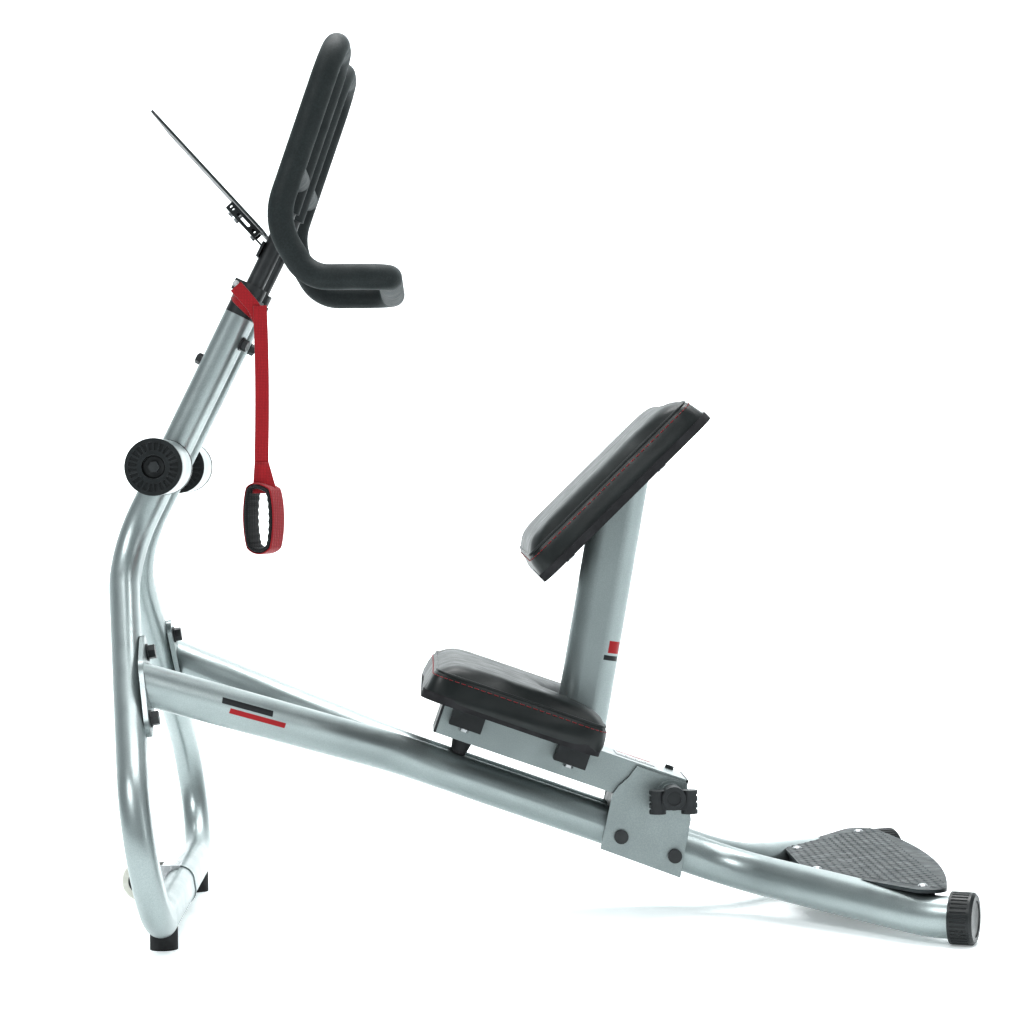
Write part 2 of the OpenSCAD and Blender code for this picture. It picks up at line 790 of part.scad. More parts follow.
// ---------- carriage ----------

module rail() {
    slot_l = travel + spindle_d + 0.6;
    color("silver") difference() {
        in_carriage(rail_u0, 0, rail_w0 + rail_h / 2) rotate([0, 90, 0]) linear_extrude(rail_l)
            difference() {
                square([rail_h, rail_w], center = true);
                square([rail_h - 5, rail_w - 5], center = true);
            }
        in_carriage(clamp_u, 0, clamp_w) rotate([90, 0, 0]) linear_extrude(200, center = true) {
            translate([-travel / 2, 0]) square([travel, spindle_d + 0.6], center = true);
            for (x = [0, -travel]) translate([x, 0]) circle(d = spindle_d + 0.6);
        }
    }
}

module rail_end_caps() {
    color([0.1, 0.1, 0.1]) for (u = [rail_u0 - 3, rail_u0 + rail_l])
        in_carriage(u, -rail_w / 2, rail_w0) cube([3, rail_w, rail_h]);
}

module rail_bumpers() {
    color([0.1, 0.1, 0.1]) for (s = [-1, 1]) in_carriage(369, s * tube_y, main_d / 2 + 0.3)
        cylinder(d1 = 17, d2 = 24, h = rail_w0 - main_d / 2 - 0.3);
}

module scale_strip() {
    color("white") in_carriage(552, -19, rail_w0 + rail_h) cube([50, 52, 0.6]);
}

module rail_stop_screw() {
    color([0.1, 0.1, 0.1]) in_carriage(625, 35, rail_w0 + rail_h) difference() {
        cylinder(d = 11, h = 4);
        translate([0, 0, 2]) hex_head(6, 3);
    }
}

// Stand-off blocks that carry the lower cushion on the rail's sides
BLOCKS = [for (s = [-1, 1]) for (u = [345, 478]) [u, s]];
block_l = 40;
block_w = 24;
block_w0 = 58;

module pad_blocks() {
    color([0.1, 0.1, 0.1]) for (b = BLOCKS)
        in_carriage(b.x, b.y * (rail_w / 2 + block_w / 2), block_w0) difference() {
            translate([0, -block_w / 2, 0]) cube([block_l, block_w, lower_w0 - block_w0]);
            translate([block_l / 2, 0, -1]) cylinder(d = 8, h = 40);
        }
}

module pad_bolts() {
    color("gray") for (b = BLOCKS)
        in_carriage(b.x + block_l / 2, b.y * (rail_w / 2 + block_w / 2), block_w0) {
        cylinder(d = 8, h = lower_w0 - block_w0);
        translate([0, 0, -4]) hex_head(13, 4);
    }
}

// Plan of the lower cushion, with a slot at the rear that the seat post passes through
post_long = 64;
post_wide = 44;
notch_w = 58;
module lower_plan(inset) {
    l = lower_u[1] - lower_u[0];
    r = 30;
    difference() {
        union() {
            translate([inset, r - pad_w / 2]) square([l - 2 * inset, pad_w - 2 * r]);
            translate([r, inset - pad_w / 2]) square([l - 2 * r, pad_w - 2 * inset]);
            for (s = [-1, 1]) for (x = [r, l - r])
                translate([x, s * (pad_w / 2 - r)]) circle(r = r - inset);
        }
        translate([l - 38, 0]) circle(d = notch_w + 2 * inset);
        translate([l - 38, -notch_w / 2 - inset]) square([80, notch_w + 2 * inset]);
    }
}

module lower_board() {
    color([0.1, 0.1, 0.1]) in_carriage(lower_u[0], 0, lower_w0) linear_extrude(board_t) lower_plan(6);
}

module lower_pad() {
    color([0.13, 0.13, 0.14]) in_carriage(lower_u[0], 0, lower_w0 + board_t + 0.3) {
        linear_extrude(pad_t - board_t) lower_plan(0);
        translate([0, 0, pad_t - board_t]) linear_extrude(9) lower_plan(14);
    }
}

// Seat post: leans back to the upper cushion, its mouth cut to the cushion's tilt
post_dir = [sin(post_lean), 0, cos(post_lean)];
module seat_post() {
    color("silver") difference() {
        along(post_foot - post_dir * 30, post_dir) linear_extrude(400)
            rotate(90) oval_tube(post_wide, post_long, 3);
        in_carriage(380, -60, rail_w0 + rail_h - 200) cube([260, 120, 200]);
        on_upper_pad() translate([-200, -100, -5]) cube([400, 200, 200]);
    }
}

// Children's x runs up the upper cushion, z off its face; z = 0 is the underside of its board
module on_upper_pad() {
    translate(upper_origin) rotate([0, -upper_tilt, 0]) children();
}

UPPER_SCREWS = [for (s = [-1, 1]) for (x = [-85, 70]) [x, s * 45]];
module post_plate() {
    color([0.12, 0.12, 0.13]) on_upper_pad() difference() {
        translate([-98, -58, -5]) cube([182, 116, 5]);
        for (p = UPPER_SCREWS) translate([p.x, p.y, -6]) cylinder(d = 7, h = 7);
    }
}

upper_l = 285;
upper_x0 = -134;
module upper_plan(inset) {
    r = 34;
    translate([upper_x0 + inset, r - pad_w / 2]) square([upper_l - 2 * inset, pad_w - 2 * r]);
    translate([upper_x0 + r, inset - pad_w / 2]) square([upper_l - 2 * r, pad_w - 2 * inset]);
    for (s = [-1, 1]) for (x = [upper_x0 + r, upper_x0 + upper_l - r])
        translate([x, s * (pad_w / 2 - r)]) circle(r = r - inset);
}

module upper_board() {
    color([0.1, 0.1, 0.1]) on_upper_pad() difference() {
        linear_extrude(board_t) upper_plan(6);
        for (p = UPPER_SCREWS) translate([p.x, p.y, -1]) cylinder(d = 7, h = 7);
    }
}

module upper_screws() {
    color("gray") on_upper_pad() for (p = UPPER_SCREWS) translate([p.x, p.y, 0]) {
        translate([0, 0, -5]) cylinder(d = 7, h = 11);
        translate([0, 0, -9]) cylinder(d = 13, h = 4);
    }
}

module upper_pad() {
    color([0.13, 0.13, 0.14]) on_upper_pad() translate([0, 0, board_t + 0.3]) {
        linear_extrude(pad_t - board_t) upper_plan(0);
        translate([0, 0, pad_t - board_t]) linear_extrude(9) upper_plan(16);
    }
}

upright_left();
upright_right();
base_seam_ring();
roller_axle();
axle_screws();
rubber_feet();
wheel_fork();
wheel_axle();
wheel_hub();
wheel_tyre();
main_tube_left();
main_tube_right();
leg_flanges();
flange_bolts();
rear_caps();
foot_plate();
foot_plate_bars();
foot_plate_screws();
roller_sleeve_left();
roller_caps_left();
roller_sleeve_right();
roller_caps_right();
tube_bushes();
post_collars();
collar_screws();
post_bolts();
handlebar();
handlebar_rungs();
grip_foam();
rung_foam();
strap_band();
strap_webbing();
cuff_shell();
cuff_lining();
placard();
placard_bracket();
placard_crossbar();
placard_screws();
side_plates();
rail_glide();
bracket_bolts();
clamp_bush();
clamp_spindle();
clamp_handle();
clamp_nut();
rail();
rail_end_caps();
rail_bumpers();
scale_strip();
rail_stop_screw();
pad_blocks();
pad_bolts();
lower_board();
lower_pad();
seat_post();
post_plate();
upper_board();
upper_pad();
upper_screws();
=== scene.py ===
"""Looks for the stretch trainer: camera, light, materials, cushions, strap, tread and trim."""
import math

import bmesh
import bpy
from mathutils import Matrix, Vector
from mathutils.bvhtree import BVHTree


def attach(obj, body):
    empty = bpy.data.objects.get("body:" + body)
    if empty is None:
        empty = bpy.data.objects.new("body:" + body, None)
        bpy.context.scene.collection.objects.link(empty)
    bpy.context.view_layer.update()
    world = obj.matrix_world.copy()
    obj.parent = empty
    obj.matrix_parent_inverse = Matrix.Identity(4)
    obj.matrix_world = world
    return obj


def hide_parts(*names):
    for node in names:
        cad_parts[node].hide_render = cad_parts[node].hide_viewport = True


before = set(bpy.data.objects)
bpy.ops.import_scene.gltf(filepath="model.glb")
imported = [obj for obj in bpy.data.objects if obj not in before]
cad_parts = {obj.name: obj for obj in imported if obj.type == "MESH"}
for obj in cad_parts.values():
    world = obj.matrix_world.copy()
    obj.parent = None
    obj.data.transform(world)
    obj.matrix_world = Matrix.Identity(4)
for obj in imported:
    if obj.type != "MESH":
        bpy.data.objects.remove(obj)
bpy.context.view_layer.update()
scene = bpy.context.scene


# ---------------------------------------------------------------- camera and light

FOCAL_PX = 2833.0
EYE = Vector((-0.123, -3.465, 0.549))
YAW = math.atan(82 / FOCAL_PX)
PITCH = math.atan(47 / FOCAL_PX)
ROLL = math.radians(-0.66)


def add_camera():
    ahead = Vector((math.sin(YAW) * math.cos(PITCH), math.cos(YAW) * math.cos(PITCH), -math.sin(PITCH)))
    level_right = Vector((math.cos(YAW), -math.sin(YAW), 0))
    level_up = level_right.cross(ahead)
    right = level_right * math.cos(ROLL) + level_up * math.sin(ROLL)
    up = level_up * math.cos(ROLL) - level_right * math.sin(ROLL)
    data = bpy.data.cameras.new("camera")
    data.sensor_width = 36
    data.lens = FOCAL_PX / 1024 * data.sensor_width
    data.clip_end = 50
    obj = bpy.data.objects.new("camera", data)
    turn = Matrix((right, up, -ahead)).transposed().to_4x4()
    obj.matrix_world = Matrix.Translation(EYE) @ turn
    scene.collection.objects.link(obj)
    scene.camera = obj


def area_light(name, at, target, size, power):
    data = bpy.data.lights.new(name, "AREA")
    data.shape = "RECTANGLE"
    data.size, data.size_y = size
    data.energy = power
    obj = bpy.data.objects.new(name, data)
    obj.location = at
    obj.rotation_euler = (Vector(target) - Vector(at)).to_track_quat("-Z", "Y").to_euler()
    scene.collection.objects.link(obj)


# name, place, target, size, power
LIGHTS = [
    ("key", (-1.7, -2.4, 2.9), (0, 0, 0.4), (1.6, 1.2), 62),
    ("top", (0.3, 0.4, 3.2), (0, 0.2, 0.0), (3.2, 2.4), 95),
    ("fill", (2.6, -1.6, 1.4), (0.1, 0, 0.4), (0.7, 1.8), 14),
    ("wall", (0, 1.6, 4.6), (0, 4.2, 0.8), (5.0, 1.6), 190),
]


def add_studio():
    """A pale floor that curves up behind the object, so that no horizon shows."""
    half_width, front, back, radius, top = 12.0, -10.0, 2.2, 2.6, 7.0
    steps = 24
    profile = [(front, 0.0), (back, 0.0)]
    for i in range(1, steps + 1):
        a = math.pi / 2 * i / steps
        profile.append((back + radius * math.sin(a), radius * (1 - math.cos(a))))
    profile.append((back + radius, top))
    mesh = bpy.data.meshes.new("floor")
    bm = bmesh.new()
    rows = [[bm.verts.new((x, y, z)) for x in (-half_width, half_width)] for y, z in profile]
    for low, high in zip(rows, rows[1:]):
        face = bm.faces.new((low[0], low[1], high[1], high[0]))
        face.smooth = True
    bm.to_mesh(mesh)
    bm.free()
    floor = bpy.data.objects.new("floor", mesh)
    scene.collection.objects.link(floor)
    m = bpy.data.materials.new("floor")
    m.use_nodes = True
    b = m.node_tree.nodes["Principled BSDF"]
    b.inputs["Base Color"].default_value = (0.93, 0.955, 0.96, 1)
    b.inputs["Roughness"].default_value = 0.9
    b.inputs["Specular IOR Level"].default_value = 0.1
    b.inputs["Emission Color"].default_value = (0.93, 0.985, 0.985, 1)
    b.inputs["Emission Strength"].default_value = 0.3
    mesh.materials.append(m)
    world = bpy.data.worlds.new("world")
    world.use_nodes = True
    bg = world.node_tree.nodes["Background"]
    bg.inputs["Color"].default_value = (0.9, 0.97, 1.0, 1)
    bg.inputs["Strength"].default_value = 0.42
    scene.world = world
    for light in LIGHTS:
        area_light(*light)
    scene.view_settings.view_transform = "Standard"
    scene.view_settings.look = "None"
    scene.view_settings.exposure = 0
    scene.view_settings.gamma = 0.8


# ---------------------------------------------------------------- materials

class Paint:
    """A Principled material and the few node groups that every finish here is made from."""

    def __init__(self, name, color, rough, metallic=0.0, **extra):
        self.mat = bpy.data.materials.new(name)
        self.mat.use_nodes = True
        self.tree = self.mat.node_tree
        self.bsdf = self.tree.nodes["Principled BSDF"]
        self.set("Base Color", (*color, 1))
        self.set("Roughness", rough)
        self.set("Metallic", metallic)
        for key, value in extra.items():
            self.set(key.replace("_", " "), value)
        self.color = color
        self.normal = None
        self.coords = self.node("ShaderNodeTexCoord").outputs["Object"]

    def set(self, key, value):
        self.bsdf.inputs[key].default_value = value

    def node(self, kind, **props):
        n = self.tree.nodes.new(kind)
        for k, v in props.items():
            setattr(n, k, v)
        return n

    def link(self, a, b):
        self.tree.links.new(a, b)

    def noise(self, scale, detail=3.0, rough=0.55, stretch=None):
        t = self.node("ShaderNodeTexNoise")
        t.inputs["Scale"].default_value = scale
        t.inputs["Detail"].default_value = detail
        t.inputs["Roughness"].default_value = rough
        self.link(self.mapped(stretch), t.inputs["Vector"])
        return t.outputs["Fac"]

    def mapped(self, stretch=None):
        if stretch is None:
            return self.coords
        m = self.node("ShaderNodeMapping")
        m.inputs["Scale"].default_value = stretch
        self.link(self.coords, m.inputs["Vector"])
        return m.outputs["Vector"]

    def cells(self, scale, feature="DISTANCE_TO_EDGE"):
        t = self.node("ShaderNodeTexVoronoi", feature=feature)
        t.inputs["Scale"].default_value = scale
        self.link(self.coords, t.inputs["Vector"])
        return t.outputs["Distance"]

    def ramp(self, value, low, high, out_low, out_high):
        r = self.node("ShaderNodeMapRange")
        for key, v in zip(("From Min", "From Max", "To Min", "To Max"), (low, high, out_low, out_high)):
            r.inputs[key].default_value = v
        self.link(value, r.inputs["Value"])
        return r.outputs["Result"]

    def mix(self, fac, color):
        """Lays color over the base colour where fac is 1."""
        m = self.node("ShaderNodeMix", data_type="RGBA")
        self.link(fac, m.inputs[0])
        before = self.bsdf.inputs["Base Color"]
        if before.links:
            self.link(before.links[0].from_socket, m.inputs[6])
        else:
            m.inputs[6].default_value = (*self.color, 1)
        m.inputs[7].default_value = (*color, 1)
        self.link(m.outputs[2], before)
        return self

    def vary(self, scale, color, low=0.35, high=0.75, amount=1.0):
        return self.mix(self.ramp(self.noise(scale), low, high, 0, amount), color)

    def gloss(self, scale, low, high, detail=4.0):
        self.link(self.ramp(self.noise(scale, detail), 0.3, 0.7, low, high), self.bsdf.inputs["Roughness"])
        return self

    def bump(self, height, strength=0.3, distance=0.0005, invert=False):
        b = self.node("ShaderNodeBump", invert=invert)
        b.inputs["Strength"].default_value = strength
        b.inputs["Distance"].default_value = distance
        self.link(height, b.inputs["Height"])
        if self.normal:
            self.link(self.normal, b.inputs["Normal"])
        self.normal = b.outputs["Normal"]
        self.link(self.normal, self.bsdf.inputs["Normal"])
        return self

    def dot(self, vector, axis):
        d = self.node("ShaderNodeVectorMath", operation="DOT_PRODUCT")
        d.inputs[1].default_value = axis
        self.link(vector, d.inputs[0])
        return d.outputs["Value"]

    def calc(self, operation, value, number):
        m = self.node("ShaderNodeMath", operation=operation)
        self.link(value, m.inputs[0])
        m.inputs[1].default_value = number
        return m.outputs[0]

    def where(self, at, axis, low, high, blur=0.0003):
        """1 between two planes square to axis, at low and high from the point at, and 0 elsewhere."""
        axis = Vector(axis).normalized()
        along = self.dot(self.coords, axis)
        start = Vector(at).dot(axis)
        above = self.ramp(along, start + low - blur, start + low + blur, 0, 1)
        below = self.ramp(along, start + high - blur, start + high + blur, 1, 0)
        return self.times(above, below)

    def times(self, *values):
        out = values[0]
        for v in values[1:]:
            m = self.node("ShaderNodeMath", operation="MULTIPLY")
            self.link(out, m.inputs[0])
            self.link(v, m.inputs[1])
            out = m.outputs[0]
        return out

    def facing(self, axis, low=0.2, high=0.3):
        """1 where the surface faces along axis."""
        normal = self.node("ShaderNodeNewGeometry").outputs["Normal"]
        return self.ramp(self.dot(normal, Vector(axis).normalized()), low, high, 0, 1)

    def stripes(self, at, axis, pitch, share):
        """1 on a share of every pitch along axis."""
        axis = Vector(axis).normalized()
        out = self.calc("SUBTRACT", self.dot(self.coords, axis), Vector(at).dot(axis))
        out = self.calc("FLOORED_MODULO", self.calc("DIVIDE", out, pitch), 1.0)
        return self.calc("LESS_THAN", out, share)

    def soft_edges(self, radius=0.0007, worn=None):
        """Rounds hard CAD edges in shading, and lightens them a little where they rub."""
        b = self.node("ShaderNodeBevel", samples=4)
        b.inputs["Radius"].default_value = radius
        if worn:
            dot = self.node("ShaderNodeVectorMath", operation="DOT_PRODUCT")
            geo = self.node("ShaderNodeNewGeometry")
            self.link(b.outputs["Normal"], dot.inputs[0])
            self.link(geo.outputs["Normal"], dot.inputs[1])
            edge = self.ramp(dot.outputs["Value"], 0.995, 0.9, 0, 1)
            patch = self.ramp(self.noise(60), 0.45, 0.6, 0, 1)
            self.mix(self.times(edge, patch), worn)
        self.normal = b.outputs["Normal"]
        self.link(self.normal, self.bsdf.inputs["Normal"])
        return self


def silver(name, tone=1.0):
    p = Paint(name, (0.34 * tone, 0.385 * tone, 0.385 * tone), 0.36, 0.72,
              Coat_Weight=0.25, Coat_Roughness=0.2)
    p.soft_edges(0.0009, worn=(0.27, 0.28, 0.29))
    p.vary(900, (0.43 * tone, 0.475 * tone, 0.475 * tone), 0.42, 0.62, 0.6)
    p.vary(9, (0.30 * tone, 0.34 * tone, 0.345 * tone), 0.4, 0.7, 0.5)
    p.gloss(25, 0.3, 0.44)
    p.bump(p.noise(700, 2), 0.10, 0.0004)
    p.bump(p.noise(70, 2), 0.05, 0.001)
    return p


def steel(name, color=(0.55, 0.56, 0.57), rough=0.28):
    p = Paint(name, color, rough, 1.0)
    p.soft_edges(0.0004)
    p.vary(60, tuple(c * 0.75 for c in color), 0.45, 0.7, 0.7)
    p.gloss(220, rough - 0.08, rough + 0.14)
    p.bump(p.noise(900, 2, stretch=(1, 0.08, 1)), 0.12, 0.0003)
    return p


def black_coat(name):
    p = Paint(name, (0.028, 0.031, 0.033), 0.42, 0.1, Coat_Weight=0.2, Coat_Roughness=0.3)
    p.soft_edges(0.0006, worn=(0.12, 0.125, 0.13))
    p.vary(35, (0.045, 0.05, 0.052), 0.45, 0.7, 0.8)
    p.gloss(40, 0.34, 0.5)
    p.bump(p.noise(650, 2), 0.12, 0.0004)
    return p


def moulded(name, color=(0.022, 0.025, 0.027), rough=0.42):
    p = Paint(name, color, rough)
    p.soft_edges(0.0008, worn=(0.09, 0.095, 0.1))
    p.vary(28, tuple(c * 1.7 for c in color), 0.45, 0.75, 0.8)
    p.gloss(30, rough - 0.08, rough + 0.12)
    p.bump(p.noise(1500, 2), 0.25, 0.0003)
    return p


def rubber(name, color=(0.02, 0.021, 0.022), rough=0.7):
    p = Paint(name, color, rough)
    p.soft_edges(0.0008)
    p.vary(40, tuple(min(1, c * 1.8 + 0.004) for c in color), 0.45, 0.75, 0.8)
    p.gloss(60, rough - 0.1, rough + 0.1)
    p.bump(p.noise(1100, 3), 0.3, 0.0004)
    return p


def foam(name):
    p = Paint(name, (0.009, 0.0145, 0.015), 0.64, 0.0, Sheen_Weight=0.06, Sheen_Roughness=0.5)
    p.set("Sheen Tint", (0.6, 0.7, 0.72, 1))
    p.vary(500, (0.017, 0.026, 0.027), 0.42, 0.62, 0.7)
    p.vary(14, (0.007, 0.011, 0.012), 0.4, 0.7, 0.6)
    p.gloss(50, 0.55, 0.72)
    p.bump(p.cells(1100, "F1"), 0.25, 0.0004)
    p.bump(p.noise(160, 3), 0.12, 0.0008)
    return p


def vinyl(name):
    p = Paint(name, (0.009, 0.0125, 0.0125), 0.42, 0.0, Coat_Weight=0.08, Coat_Roughness=0.35)
    p.vary(30, (0.014, 0.019, 0.019), 0.4, 0.7, 0.8)
    p.gloss(45, 0.36, 0.5)
    p.bump(p.cells(750), 0.22, 0.0004)
    p.bump(p.noise(420, 4), 0.15, 0.0004)
    p.bump(p.noise(26, 3), 0.08, 0.003)
    return p


def woven(name, color, dark, pitch=0.0009):
    """Crossed thread bands, pitch apart, with painted shade darkening the gaps between them."""
    p = Paint(name, color, 0.75, 0.0, Sheen_Weight=0.4, Sheen_Roughness=0.4)
    bands = []
    for axis in ("X", "Z"):
        w = p.node("ShaderNodeTexWave", bands_direction=axis, wave_profile="SIN")
        w.inputs["Scale"].default_value = 1 / pitch / 20 * 3.1416
        w.inputs["Distortion"].default_value = 0.6
        w.inputs["Detail Scale"].default_value = 3
        p.link(p.coords, w.inputs["Vector"])
        bands.append(w.outputs["Fac"])
    threads = p.times(*bands)
    # painted shade: the gaps between the threads are mixed toward the darker copy of the colour
    p.mix(p.ramp(threads, 0.1, 0.6, 0.75, 0), dark)
    p.vary(25, tuple(c * 0.75 for c in color), 0.45, 0.7, 0.5)
    p.bump(threads, 0.5, 0.0005)
    p.bump(p.noise(1400, 2), 0.2, 0.0002)
    return p


SILVER = silver("silver_coat")
PLATE = silver("silver_plate", 0.84)
SLEEVE = silver("silver_sleeve", 0.85)
ZINC = steel("zinc_steel")
AXLE = steel("axle_steel", (0.2, 0.21, 0.22), 0.36)
BLACK = black_coat("black_coat")
PLASTIC = moulded("black_plastic")
CAP = moulded("cap_plastic", (0.013, 0.016, 0.017), 0.34)
RUBBER = rubber("black_rubber")
TYRE = rubber("cream_tyre", (0.62, 0.62, 0.56), 0.5)
FOAM = foam("grip_foam")
VINYL = vinyl("black_vinyl")
RED_WEB = woven("red_webbing", (0.46, 0.012, 0.022), (0.2, 0.004, 0.01))
LINING = woven("black_lining", (0.022, 0.024, 0.026), (0.006, 0.006, 0.007), 0.0013)
TREAD = rubber("tread_rubber", (0.02, 0.027, 0.029), 0.5)
BOARD = rubber("board_cloth", (0.02, 0.02, 0.022), 0.85)
PIPING = vinyl("piping_vinyl")
THREAD = woven("red_thread", (0.3, 0.008, 0.014), (0.16, 0.004, 0.008), 0.0005)

# Main tube and seat post with plain bars where each had its decal
TUBE_AT = Vector((-0.4478, -0.2096, 0.3012))
TUBE_DIR = (Vector((-0.1654, -0.026, 0.2001)) - TUBE_AT).normalized()
TUBE_UP = Vector((0, 0, 1)) - TUBE_DIR * TUBE_DIR.z
POST_LEAN = math.radians(10.4)
POST_DIR = Vector((math.sin(POST_LEAN), 0, math.cos(POST_LEAN)))
POST_ACROSS = Vector((math.cos(POST_LEAN), 0, -math.sin(POST_LEAN)))
POST_AT = Vector((0.0708, 0, 0.2117))


def barred(name, at, along, across, facing, bars):
    p = silver(name)
    near = p.facing(facing)
    for a0, a1, b0, b1, color in bars:
        mask = p.times(p.where(at, along, a0, a1), p.where(at, across, b0, b1), near)
        p.mix(mask, color)
    return p


RED_INK = (0.3, 0.012, 0.016)
BLACK_INK = (0.02, 0.022, 0.024)
TUBE_BARS = barred("silver_tube_bars", TUBE_AT, TUBE_DIR, TUBE_UP, (0, -1, 0), [
    (0.085, 0.155, 0.001, 0.008, BLACK_INK), (0.098, 0.175, -0.008, -0.002, RED_INK)])
POST_BARS = barred("silver_post_bars", POST_AT, POST_DIR, POST_ACROSS, (0, -1, 0), [
    (0.100, 0.106, -0.003, 0.014, BLACK_INK), (0.109, 0.124, 0.001, 0.014, RED_INK)])

CENTRE = (0, 0, 0)
ACROSS = (0, 1, 0)
PLACARD_DIR = Vector((-129, 0, 143)).normalized()
PLACARD_FACE = PLACARD_DIR.cross(Vector((0, -1, 0)))
PLACARD_FOOT = Vector((-0.314, 0, 0.828))


def placard_sheet():
    """White printed face with a plain grid of grey marks, and dark edges and back."""
    p = moulded("placard_sheet", (0.03, 0.033, 0.035), 0.4)
    face = p.facing(PLACARD_FACE, 0.9, 0.95)
    p.mix(face, (0.62, 0.65, 0.66))
    inside = p.times(p.where(PLACARD_FOOT, PLACARD_DIR, 0.012, 0.181),
                     p.where(CENTRE, ACROSS, -0.118, 0.118), face)
    cells = p.times(p.stripes(PLACARD_FOOT, PLACARD_DIR, 0.0285, 0.72),
                    p.stripes(CENTRE, ACROSS, 0.0395, 0.78))
    p.mix(p.times(inside, cells), (0.42, 0.46, 0.48))
    blobs = p.ramp(p.noise(95, 1), 0.52, 0.56, 0, 1)
    p.mix(p.times(inside, cells, blobs), (0.09, 0.1, 0.11))
    p.mix(p.times(p.where(PLACARD_FOOT, PLACARD_DIR, 0.183, 0.189), face), RED_INK)
    return p


CARRIAGE = math.radians(19.7)
DOWN_SLOPE = Vector((math.cos(CARRIAGE), 0, -math.sin(CARRIAGE)))
SLOPE_UP = Vector((math.sin(CARRIAGE), 0, math.cos(CARRIAGE)))
CARRIAGE_AT = Vector((-0.44784, 0, 0.30124))


def scale_label():
    """White label with fine and coarse ticks down one side and a red bar down the other."""
    p = moulded("scale_label", (0.6, 0.62, 0.63), 0.4)
    at = CARRIAGE_AT + DOWN_SLOPE * 0.552
    printed = p.where(at, DOWN_SLOPE, 0.003, 0.047)
    fine = p.times(p.stripes(at, DOWN_SLOPE, 0.0025, 0.25), p.where(CENTRE, ACROSS, -0.017, -0.009))
    coarse = p.times(p.stripes(at, DOWN_SLOPE, 0.0125, 0.1), p.where(CENTRE, ACROSS, -0.017, 0.001))
    p.mix(p.times(fine, printed), BLACK_INK)
    p.mix(p.times(coarse, printed), BLACK_INK)
    p.mix(p.times(p.where(CENTRE, ACROSS, 0.018, 0.030), printed), RED_INK)
    return p


SHEET = placard_sheet()
LABEL = scale_label()

NODE_PAINT = {
    SILVER: ["upright_left", "upright_right", "main_tube_right", "base_seam_ring"],
    TUBE_BARS: ["main_tube_left"],
    POST_BARS: ["seat_post"],
    PLATE: ["leg_flanges", "side_plates", "rail", "clamp_bush"],
    SLEEVE: ["roller_sleeve_left", "roller_sleeve_right"],
    ZINC: ["wheel_axle", "foot_plate_screws", "placard_screws", "clamp_spindle", "clamp_nut",
           "pad_bolts", "upper_screws", "collar_screws", "wheel_fork"],
    AXLE: ["roller_axle"],
    BLACK: ["axle_screws", "handlebar", "handlebar_rungs", "placard_bracket", "placard_crossbar",
            "flange_bolts", "post_bolts", "bracket_bolts", "foot_plate_bars", "post_plate",
            "rail_stop_screw", "post_collars"],
    PLASTIC: ["tube_bushes", "clamp_handle", "rail_end_caps", "rail_glide", "pad_blocks", "wheel_hub"],
    CAP: ["rear_caps", "roller_caps_left", "roller_caps_right"],
    RUBBER: ["rubber_feet", "rail_bumpers"],
    TYRE: ["wheel_tyre"],
    FOAM: ["grip_foam", "rung_foam"],
    TREAD: ["foot_plate"],
    BOARD: ["lower_board", "upper_board"],
    VINYL: ["lower_pad", "upper_pad"],
    RED_WEB: ["strap_band", "strap_webbing", "cuff_shell"],
    LINING: ["cuff_lining"],
    SHEET: ["placard"],
    LABEL: ["scale_strip"],
}


def paint_nodes():
    for paint, names in NODE_PAINT.items():
        for name in names:
            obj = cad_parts[name]
            for slot in obj.material_slots:
                slot.material = paint.mat


# ---------------------------------------------------------------- mesh helpers

def new_object(name, bm, paint, smooth=True):
    mesh = bpy.data.meshes.new(name)
    bmesh.ops.recalc_face_normals(bm, faces=bm.faces)
    bm.to_mesh(mesh)
    bm.free()
    for poly in mesh.polygons:
        poly.use_smooth = smooth
    mesh.materials.append(paint.mat)
    obj = bpy.data.objects.new(name, mesh)
    scene.collection.objects.link(obj)
    return obj


def apply_modifiers(obj):
    graph = bpy.context.evaluated_depsgraph_get()
    mesh = bpy.data.meshes.new_from_object(obj.evaluated_get(graph))
    obj.modifiers.clear()
    obj.data = mesh


def sweep(bm, path, ups, profile, closed=False):
    """Skins a closed 2D profile along path. Profile x lies along the side vector, and y along up."""
    rings = []
    n = len(path)
    for i, (p, up) in enumerate(zip(path, ups)):
        ahead = path[(i + 1) % n] if closed or i < n - 1 else p
        behind = path[i - 1] if closed or i > 0 else p
        t = (ahead - behind).normalized()
        side = t.cross(up).normalized()
        lift = side.cross(t).normalized()
        rings.append([bm.verts.new(p + side * x + lift * y) for x, y in profile])
    m = len(profile)
    for i in range(n if closed else n - 1):
        a, b = rings[i], rings[(i + 1) % n]
        for k in range(m):
            bm.faces.new((a[k], a[(k + 1) % m], b[(k + 1) % m], b[k]))
    if not closed:
        bm.faces.new(rings[0])
        bm.faces.new(list(reversed(rings[-1])))


def webbing_profile(width, thick, ribs=5):
    """Flat band with thicker selvedges and shallow ribs along it."""
    top = []
    count = 4 * ribs
    for i in range(count + 1):
        u = i / count
        rib = 0.12 * thick * math.cos(2 * math.pi * ribs * u)
        edge = min(1.0, min(u, 1 - u) * 18) ** 0.5
        top.append(((u - 0.5) * width, edge * (thick / 2 - 0.06 * thick + rib * 0.5)))
    return top + [(x, -y) for x, y in reversed(top[1:-1])]


def rope_profile(radius, count=10):
    return [(radius * math.cos(2 * math.pi * i / count), radius * math.sin(2 * math.pi * i / count))
            for i in range(count)]


def evenly(points, step, closed=True):
    """Points resampled every step along the polyline."""
    loop = points + [points[0]] if closed else list(points)
    out, carry = [], 0.0
    total = sum((b - a).length for a, b in zip(loop, loop[1:]))
    count = max(4, round(total / step))
    gap = total / count
    for a, b in zip(loop, loop[1:]):
        span = (b - a).length
        while carry < span - 1e-9:
            out.append(a.lerp(b, carry / span))
            carry += gap
        carry -= span
    return out


